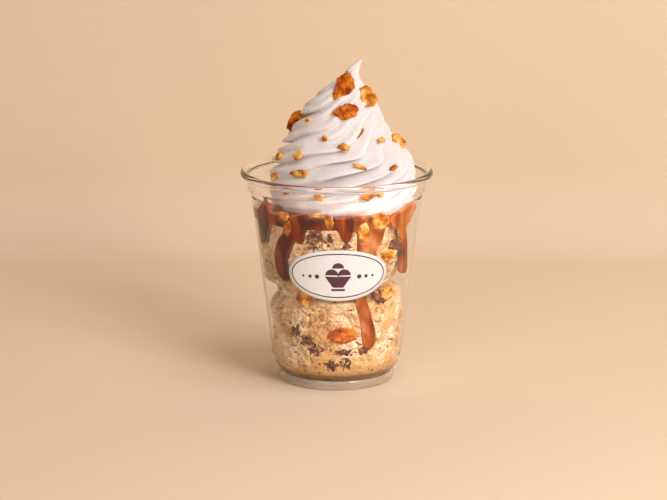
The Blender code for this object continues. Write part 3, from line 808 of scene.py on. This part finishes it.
def scoop_place(turn, level, heights, radii, middles):
    """Points on a scoop before it meets the cup: an oval drum, deeper than wide, with a leaning waist."""
    radius = smooth_line(level, heights, radii)
    x = radius * np.sin(turn) + smooth_line(level, heights, middles)
    y = -radius * SCOOP_DEPTH * np.cos(turn) - SCOOP_FORWARD
    lean = WAIST_LEAN * np.exp(-(((level - WAIST_HEIGHT) / WAIST_REACH) ** 2))
    return np.column_stack([x, y, level + lean * x])


def room_for_pieces(angle, height):
    """How deep the ice cream lies behind the caramel and the flakes at each place on the wall."""
    edge = cover(angle, height)
    deep = 0.9 * between(-0.7, 0.1, edge) + 1.8 * between(0.1, 1.4, edge)
    return np.maximum(deep, 1.9 * between(1.0, 0.7, near(angle, height, WALL_BISCUITS.values())))


# %% Scooped ice cream
def ice_cream():
    """Ice cream with caramel swirls, glossier where it melts."""
    material = new_material(
        "ice_cream_scooped", Roughness=0.5, IOR=1.38, Subsurface_Weight=0.15, Subsurface_Scale=0.002,
        Subsurface_Radius=(1.0, 0.7, 0.4),
    )
    place = add_node(material, "TexCoord").outputs["Object"]
    broad = add_node(
        material, "TexNoise", {"Scale": span(13.3), "Detail": 3.0, "Distortion": 0.8},
        {"Vector": place},
    )
    fine = add_node(
        material, "TexNoise", {"Scale": span(1.11), "Detail": 5.0, "Roughness": 0.7},
        {"Vector": place},
    )
    both = add_node(material, "Mix", {"Factor": 0.5}, {"A": broad, "B": fine})
    tone = add_node(material, "ValToRGB", None, {"Fac": both})
    set_ramp(tone, (0.38, "9C6634"), (0.45, "D09C62"), (0.52, "E6BE92"), (0.60, "F4D8BA"))
    wet = add_node(material, "Attribute", attribute_name="wet").outputs["Fac"]
    melted = add_node(
        material, "Mix", {"B": linear("DDA968")},
        {"Factor": wet, "A": tone}, data_type="RGBA",
    )
    # The darker mark: brown veins, specks and chocolate clots, and painted shade in the deepest pits and
    # along the bottom.
    brown = add_node(material, "Attribute", attribute_name="brown").outputs["Fac"]
    veined_and_shaded = add_node(
        material, "Mix", {"B": linear("63341A")},
        {"Factor": brown, "A": melted}, data_type="RGBA",
    )
    feed(material, Base_Color=veined_and_shaded)
    gloss = add_node(material, "MapRange", {"To Min": 0.55, "To Max": 0.22}, {"Value": wet})
    feed(material, Roughness=gloss)
    bump = add_node(material, "Bump", {"Strength": 0.45, "Distance": 0.0005}, {"Height": fine})
    feed(material, Normal=bump)
    return material


# %% Scoops
def make_scoop(name, heights, radii, middles, seed, material, rows):
    """A scoop with its crumbly relief, and the marks for melted patches, dark veins and painted shade."""
    columns = 600
    end_shares = (0.93, 0.8, 0.6, 0.35)
    turns = np.linspace(0, math.tau, columns, endpoint=False)
    turn, level = (grid.ravel() for grid in np.meshgrid(turns, np.linspace(heights[0], heights[-1], rows)))
    place = scoop_place(turn, level, heights, radii, middles)
    swell = 1.5 * rough(place, 16, seed) + 0.8 * rough(place, 6, seed)
    away = np.hypot(place[:, 0], place[:, 1])
    limit = inside_radius(place[:, 2]) + 0.06
    angle = np.arctan2(place[:, 0], -place[:, 1])
    on_wall = wall_point(angle, place[:, 2], 0.0)

    def uneven(size, shift):
        return rough(on_wall, size, seed + shift)

    free = np.maximum(limit - away - swell, 0.0)
    low = between(22, 10, place[:, 2])
    wet = np.clip(between(0.05, 0.3, uneven(15, 9)) * 0.8 + low * 0.9, 0, 1)
    wet *= between(-0.25, 0.15, uneven(5, 8) + 0.4 * low)
    foot = between(9.5, 7.5, place[:, 2])
    crumb = 0.7 * uneven(3.4, 3) + 0.5 * uneven(1.4, 5)
    crumb += 0.3 * uneven(0.65, 6)
    furrow = 1.0 - np.abs(uneven(11, 7)) * 6
    dark = between(1.3, 0.6, near(angle, place[:, 2], CHOCOLATE))
    clots = between(-0.02, 0.22, uneven(1.3, 16) + 0.55 * dark - 0.3)
    line = np.exp(-((uneven(7.5, 11) / 0.03) ** 2))
    line *= between(0.2, 0.38, uneven(12, 12))
    hair = np.exp(-((uneven(4.0, 13) / 0.045) ** 2))
    hair *= between(0.26, 0.45, uneven(8, 14))
    specks = between(0.38, 0.5, uneven(1.6, 15))
    specks *= between(-0.1, 0.2, uneven(10, 17))
    # Painted shade: the deepest pits of the crumb are coloured dark.
    pits = 0.6 * between(-0.2, -0.65, crumb) * between(-0.25, 0.2, uneven(13, 18))
    # Painted shade along the bottom, where the scoop meets the cup's floor.
    edge = 0.3 * between(12, 8.5, place[:, 2])
    brown = np.clip(np.maximum.reduce([clots * dark, 0.7 * line, 0.6 * hair, specks, pits, edge]), 0, 1)
    dry = 1 - np.maximum(0.85 * wet, foot)
    depth = (0.45 + np.clip(furrow, 0, 1) * 0.8 - crumb + 0.4 * brown) * dry
    depth = np.maximum(depth + free, 0.0)
    depth = np.maximum(depth, room_for_pieces(angle, place[:, 2]))
    place[:, :2] *= ((limit - depth) / away)[:, None]
    rings = list(place.reshape(rows, columns, 3))
    for end in (0, -1):
        ring = rings[end]
        middle = ring.mean(axis=0)
        for share in end_shares:
            inner = middle + (ring - middle) * share
            if end:
                inner[:, 2] += 0.5 * rough(inner, 5, seed)
                rings.append(inner)
            else:
                rings.insert(0, inner)
    points, faces = ring_mesh(rings)
    pad = np.zeros(len(end_shares) * columns)
    wet, brown = (np.concatenate([pad, values, pad, [0.0, 0.0]]) for values in (wet, brown))
    return new_piece(name, points, faces, material, wet=wet, brown=brown)


ice = ice_cream()
lower = make_scoop("lower_scoop", LOWER_HEIGHTS, LOWER_RADII, LOWER_MIDDLES, 1, ice, 140)
upper = make_scoop("upper_scoop", UPPER_HEIGHTS, UPPER_RADII, UPPER_MIDDLES, 2, ice, 126)
settle(lower, "ice_cream", "ice_cream_lower")
settle(upper, "ice_cream", "ice_cream_upper")

# %% [markdown]
# Chocolate in the ice cream
#
# Dark crumbs of chocolate lie in loose clusters at the wall. They are small angular lumps scattered with a
# fixed seed inside each cluster, all in one mesh.

# %% Chocolate crumbs
def chocolate():
    """Dark chocolate, dusty where it broke."""
    material = new_material("chocolate_crumbled", Roughness=0.45, IOR=1.46)
    place = add_node(material, "TexCoord").outputs["Object"]
    grain = add_node(material, "TexNoise", {"Scale": span(2.08), "Detail": 4.0}, {"Vector": place})
    tone = add_node(material, "ValToRGB", None, {"Fac": grain})
    set_ramp(tone, (0.34, "3E1608"), (0.5, "6A2C12"), (0.66, "AC6C3E"))
    feed(material, Base_Color=tone)
    return material


def lump(size, seed):
    """Points and faces of one small angular lump."""
    shape = bmesh.new()
    bmesh.ops.create_icosphere(shape, subdivisions=2, radius=1.0)
    points = np.array([v.co for v in shape.verts])
    faces = [tuple(v.index for v in face.verts) for face in shape.faces]
    shape.free()
    points = points * (1 + 0.55 * rough(points, 0.8, seed))[:, None]
    return points * size, faces


def make_chocolate():
    """All crumbs of chocolate, held inside the wall."""
    chance = np.random.default_rng(7)
    points, faces = np.empty((0, 3)), []
    for a, h, wide, tall in CHOCOLATE:
        for _ in range(int(wide * tall) + 8):
            spread = chance.normal(0, 0.29, 2)
            size = chance.uniform(0.35, 1.15)
            height = h + spread[1] * tall
            angle = math.radians(a) + spread[0] * wide / inside_radius(h)
            body, sides = lump(size * chance.uniform(0.7, 1.3, 3), chance.uniform(0, 50))
            spot = wall_point(angle, height, size * 0.7 + chance.uniform(0.1, 0.7))
            points, faces = joined(points, faces, body + spot, sides)
    away = np.hypot(points[:, 0], points[:, 1])
    points[:, :2] *= np.minimum(1.0, (inside_radius(points[:, 2]) + 0.1) / away)[:, None]
    return new_piece("chocolate_crumbs", points, faces, chocolate(), smooth=False)


settle(make_chocolate(), "ice_cream")

# %% [markdown]
# Whipped cream
#
# The swirl was piped through a star nozzle: twelve ribs that wind up to the right and meet in a curled tip.
# Radius, middle and slope of the ribs are read by height. A fold near the front lets them lie flat at the
# left and climb at the right, and at the left every other groove closes, where two ribs have run together.
# The ribs hang a little over the grooves below them because fresh cream sags, so each crest is moved down.

# %% Shape of the swirl
CREAM_HEIGHTS = (
    88.0, 93.0, 98.0, 112.0, 116.0, 120.0, 126.0, 134.0, 142.0, 146.5, 151.0, 156.0, 161.0, 165.0,
)
CREAM_RADII = (32.2, 35.4, 36.2, 34.8, 33.2, 30.4, 25.9, 20.9, 17.4, 14.4, 10.0, 4.8, 2.9, 0.9)
CREAM_MIDDLES = (3.6, 3.5, 3.2, 2.9, 3.0, 2.9, 1.6, 1.8, 2.2, 3.4, 4.3, 6.6, 8.8, 12.2)
RIB_RISES = (13.0, 14.0, 14.4, 14.0, 13.2, 12.4, 12.0, 12.0, 12.4, 12.0, 11.0, 10.0, 9.0, 9.0)
FOLD_RISES = (2.0, 4.0, 5.2, 5.6, 5.4, 5.0, 4.6, 4.0, 3.6, 3.0, 2.5, 2.0, 1.0, 0.0)
FOLD_TURNS = (0.6, 0.6, 0.6, 0.6, 0.6, 0.5, 0.0, 0.0, -0.1, -0.1, 0.0, 0.0, 0.0, 0.0)
RIBS = 12
RIB_START = 0.325
RIB_DEPTH = 0.31


def rib_turn(height):
    """How far the ribs have turned at this height, in radians."""
    levels = np.linspace(CREAM_HEIGHTS[0], CREAM_HEIGHTS[-1], 400)
    rate = 1 / smooth_line(levels, CREAM_HEIGHTS, RIB_RISES)
    total = np.concatenate([[0.0], np.cumsum((rate[1:] + rate[:-1]) / 2 * np.diff(levels))])
    return np.interp(height, levels, total)


def cream_surface(turn, height):
    """Points on the ribbed cream at these angles from the front, in radians, and heights."""
    radius = smooth_line(height, CREAM_HEIGHTS, CREAM_RADII)
    fold = np.arcsin(0.9 * np.cos(turn - smooth_line(height, CREAM_HEIGHTS, FOLD_TURNS)))
    wound = rib_turn(height + fold * smooth_line(height, CREAM_HEIGHTS, FOLD_RISES))
    sway = 0.16 * np.sin(3 * turn + height / 5.5) * np.clip((height - 100) / 20, 0, 1)
    turned = RIBS * (turn - wound) / math.tau + RIB_START + sway
    rib = np.sqrt(np.cos(math.pi * (turned % 1.0) ** 1.25) ** 2 + 0.015)
    closed = (np.floor(turned) % 2) * between(-0.1, -0.75, np.sin(turn))
    rib = 1 - (1 - rib) * (1 - 0.75 * closed)
    fade = np.clip((height - 96) / 16, 0.06, 1.0) * np.clip((162 - height) / 16, 0.3, 1.0)
    fade = fade * (0.85 + 0.35 * np.sin(2 * turn - height / 9 + 1.0))
    radius = radius * (1 + RIB_DEPTH * fade * (rib - 0.7))
    middle = smooth_line(height, CREAM_HEIGHTS, CREAM_MIDDLES)
    droop = np.minimum(1.6, 0.05 * radius) * rib * fade
    return middle + radius * np.sin(turn), -radius * np.cos(turn), height - droop


# %% Whipped cream
def whipped_cream():
    """Soft white foam: light goes in a little way and comes out again."""
    material = new_material(
        "whipped_cream_piped", Roughness=0.45, IOR=1.35, Subsurface_Weight=0.12, Subsurface_Scale=0.0015,
        Subsurface_Radius=(1.0, 0.8, 0.6), Specular_IOR_Level=0.3,
    )
    place = add_node(material, "TexCoord").outputs["Object"]
    broad = add_node(material, "TexNoise", {"Scale": span(16.7), "Detail": 2.0}, {"Vector": place})
    tone = add_node(material, "ValToRGB", None, {"Fac": broad})
    set_ramp(tone, (0.35, "EAE3E2"), (0.65, "F3EDEE"))
    feed(material, Base_Color=tone)
    foam = add_node(material, "TexNoise", {"Scale": span(1.11), "Detail": 2.0}, {"Vector": place})
    bump = add_node(material, "Bump", {"Strength": 0.08, "Distance": 0.0004}, {"Height": foam})
    feed(material, Normal=bump)
    return material


# %% Piped cream
def make_cream():
    """The swirl, with slight dents, lying on the caramel."""
    columns, rows = 340, 260
    turns = np.linspace(0, math.tau, columns, endpoint=False)
    rings = []
    for share in np.linspace(0.02, 1, rows):
        height = CREAM_HEIGHTS[0] + (CREAM_HEIGHTS[-1] - CREAM_HEIGHTS[0]) * share**0.95
        x, y, z = cream_surface(turns, np.full(columns, height))
        ring = np.column_stack([x, y, z])
        ring[:, :2] *= (1 + 0.016 * rough(ring, 9, 3) + 0.006 * rough(ring, 3.2, 4))[:, None]
        ring[:, 2] = np.maximum(ring[:, 2], sauce_top(ring[:, 0], ring[:, 1]) - 0.8)
        rings.append(ring)
    return new_piece("piped_cream", *ring_mesh(rings), whipped_cream())


settle(make_cream(), "whipped_cream", "whipped_cream")

# %% [markdown]
# Biscuit on the cream
#
# Five large flakes stand in the cream and small crumbs lie in its grooves. A piece is placed by its angle
# and height on the cream and by the way that it faces, and is sunk a little so that the cream holds it. The
# rows are angle, height, width, tallness and turn, and for a flake also its lean, seed and facing. One thin
# strip lies at the wall under the cream's edge.

# %% Biscuit on the cream
CREAM_BISCUITS = {
    "biscuit_top": (-12, 152.2, 11.2, 15.4, -8, -2, 11, -8),
    "biscuit_below_top": (9.2, 142.2, 12.0, 9.4, 6, 2, 12, 4),
    "biscuit_high_right": (56, 147.7, 10.6, 10.6, 30, -8, 13, 24),
    "biscuit_high_left": (-88, 134.0, 9.4, 14.2, -24, 8, 14, -34),
    "biscuit_low_right": (86, 125.4, 7.8, 10.6, 38, 4, 15, 36),
}
CREAM_CRUMBS = (
    (-49, 137.5, 2.8, 2.8, 0), (-18, 129.5, 3.4, 3.0, -20), (3.7, 126.3, 6.0, 4.6, -8),
    (27.4, 130.2, 3.6, 8.4, -36), (49.7, 128.4, 5.6, 3.4, 6), (-70.4, 117.9, 4.6, 4.4, 0),
    (-44.2, 120.8, 5.4, 5.8, 10), (-67.7, 108.5, 6.4, 4.4, 0), (-37, 112.9, 12.8, 4.2, 2),
    (14.8, 117.9, 8.8, 2.4, -24), (44.1, 116.4, 6.4, 2.6, 24), (-56.1, 102.2, 8.0, 2.2, -14),
    (-18.2, 103.3, 4.8, 5.2, 0), (19.7, 104.3, 8.4, 6.2, 0), (33, 102.6, 4.2, 5.8, 0),
)
STRIP = (-12.6, 93.4, 11.0, 2.0, 2, 17)


def cream_piece(row, thick, sunk, sides=8):
    """Points and faces of a flake stuck in the cream, leaning a little out of its surface."""
    angle, height, width, tall, turn, lean, seed, facing = row
    spot = Vector([float(v) for v in cream_surface(math.radians(angle), height)])
    above = float(smooth_line(height + 3, CREAM_HEIGHTS, CREAM_RADII))
    below = float(smooth_line(height - 3, CREAM_HEIGHTS, CREAM_RADII))
    way = math.radians(facing)
    out = Vector((math.sin(way), -math.cos(way), (below - above) / 12)).normalized()
    across = Vector((math.cos(way), math.sin(way), 0.0))
    up = out.cross(across).normalized()
    tilt = math.radians(lean)
    up, out = up * math.cos(tilt) + out * math.sin(tilt), out * math.cos(tilt) - up * math.sin(tilt)
    rings = [
        [tuple(spot + across * x + up * y + out * (thick - sunk - d)) for x, y, d in ring]
        for ring in piece_rings(width, tall, turn, seed, thick, sides)
    ]
    return ring_mesh(rings)


for node, row in CREAM_BISCUITS.items():
    make_flake(node, *cream_piece(row, 2.6, 1.0))

points, faces = wall_piece(STRIP)
for seed, row in enumerate(CREAM_CRUMBS):
    points, faces = joined(points, faces, *cream_piece((*row, 0, seed + 40, row[0]), 2.4, 0.6, 7))
crumbs = roughen(new_piece("biscuit_crumbs", points, faces, None), 0.26, CRUMB_LUMPS)
dress(crumbs, golden)
settle(crumbs, "biscuit")

# %% [markdown]
# The stage
#
# A plain pale sweep in a warm beige, floor and back in one curve, with a soft light at the front right, as
# the shadow in the photograph tells, a wider one above and an even warm surround. The sweep is clear on
# its back, so that the sundae can be looked at from behind too.

# %% Floor and back
def make_stage():
    """A wide painted sweep under and behind the cup, clear when seen from its back."""
    material = new_material("painted_sweep_warm_beige", Base_Color=linear("EFD8BB"), Roughness=0.85)
    clear_where(material, add_node(material, "NewGeometry").outputs["Backfacing"])
    corner, radius, front, half_wide, top = 0.30, 0.05, -2.5, 3.0, 2.2
    profile = [(front, 0.0), (corner - radius, 0.0)]
    profile += [
        (corner - radius + radius * math.sin(t), radius - radius * math.cos(t))
        for t in np.linspace(0.1, math.pi / 2, 12)
    ]
    profile.append((corner, top))
    points, faces = [], []
    for y, z in profile:
        points += [(-half_wide, y, z), (half_wide, y, z)]
    for i in range(len(profile) - 1):
        faces.append((2 * i, 2 * i + 1, 2 * i + 3, 2 * i + 2))
    mesh = bpy.data.meshes.new("sweep")
    mesh.from_pydata(points, [], faces)
    mesh.materials.append(material)
    mesh.shade_smooth()
    sweep = new_object("sweep", mesh)


make_stage()

# %% Lights and surround
def soft_light(name, place, aim, size, power, code):
    """A round soft light, in metres and watts."""
    light = bpy.data.lights.new(name, "AREA")
    light.shape = "DISK"
    light.size = size
    light.energy = power
    light.color = linear(code)[:3]
    lamp = new_object(name, light)
    lamp.location = place
    lamp.rotation_euler = (Vector(place) - Vector(aim)).to_track_quat("Z", "Y").to_euler()


soft_light("key", (0.52, -0.74, 0.52), (0, 0, 0.09), 0.42, 5.3, "FFFAF6")
soft_light("top", (0.55, -0.42, 1.25), (0.12, 0.25, 0.2), 0.8, 5.4, "FFFBF8")
soft_light("low", (-0.5, -1.05, 0.2), (0, 0, 0.09), 0.5, 1.3, "FFF3E6")
world = bpy.data.worlds.new("warm_surround")
world.use_nodes = True
world.node_tree.nodes["Background"].inputs["Color"].default_value = linear("F6ECE2")
world.node_tree.nodes["Background"].inputs["Strength"].default_value = 0.31
bpy.context.scene.world = world
bpy.context.scene.view_settings.view_transform = "Standard"
bpy.context.scene.view_settings.look = "None"

# %% [markdown]
# The camera
#
# A long lens from about 1.3 m, looking down by 13 degrees, which the ovals of the rim and the foot give.

# %% Camera
FOCAL_PIXELS = 2600
IMAGE_WIDTH = 667
LOOK_DOWN = math.radians(13.13)
lens = bpy.data.cameras.new("camera")
lens.sensor_width = 36.0
lens.lens = FOCAL_PIXELS / IMAGE_WIDTH * lens.sensor_width
lens.clip_start = 0.05
camera = new_object("camera", lens)
camera.location = (-0.0016, -1.297, 0.369)
camera.rotation_euler = (math.pi / 2 - LOOK_DOWN, 0.0, 0.0)
bpy.context.scene.camera = camera
